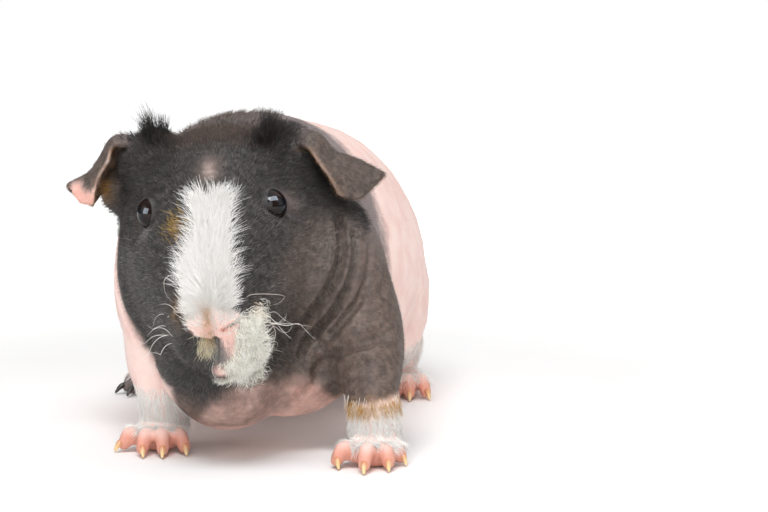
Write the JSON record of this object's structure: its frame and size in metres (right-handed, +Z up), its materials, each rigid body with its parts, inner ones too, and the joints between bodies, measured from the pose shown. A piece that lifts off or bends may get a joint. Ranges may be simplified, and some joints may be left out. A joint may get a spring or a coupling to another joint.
{
  "type": "skinny pig model",
  "caption": "Still, life-size model of a nearly hairless guinea pig standing at rest, head low, with drooping ears and a white bristly blaze.",
  "frame": {"origin": "on the floor, at the centre of the model's footprint box", "axes": "+Z up, the pig faces -Y, and its own left side is at +X"},
  "size_m": [0.1344, 0.2442, 0.1265],
  "materials": {
    "head_skin": "velvety charcoal skin with grey fuzz",
    "neck_skin": "soft folded grey-brown skin",
    "body_skin": "bare pink skin with grey-brown shoulders",
    "leg_skin": "pink skin with short pale hair",
    "foot_skin": "salmon pink wrinkled skin",
    "ear_skin": "thin grey-brown skin with a pink patch",
    "eye": "wet, glossy near-black",
    "claw": "translucent yellow-pink horn",
    "dark_claw": "black horn",
    "hair": "white, stiff and slightly curled",
    "dark_hair": "black and bristly"
  },
  "bodies": {
    "root": {"head": "head_skin", "neck": "neck_skin", "torso": "body_skin", "ear_left": "ear_skin", "ear_right": "ear_skin", "eye_left": "eye", "eye_right": "eye", "leg_fore_left": "leg_skin", "foot_fore_left": "foot_skin", "claw_fore_left_1": "claw", "claw_fore_left_2": "claw", "claw_fore_left_3": "claw", "claw_fore_left_4": "claw", "leg_fore_right": "leg_skin", "foot_fore_right": "foot_skin", "claw_fore_right_1": "claw", "claw_fore_right_2": "claw", "claw_fore_right_3": "claw", "claw_fore_right_4": "claw", "leg_hind_left": "leg_skin", "foot_hind_left": "foot_skin", "claw_hind_left_1": "claw", "claw_hind_left_2": "claw", "claw_hind_left_3": "claw", "leg_hind_right": "leg_skin", "foot_hind_right": "foot_skin", "claw_hind_right_1": "dark_claw", "claw_hind_right_2": "dark_claw", "claw_hind_right_3": "dark_claw"}
  },
  "joints": []
}
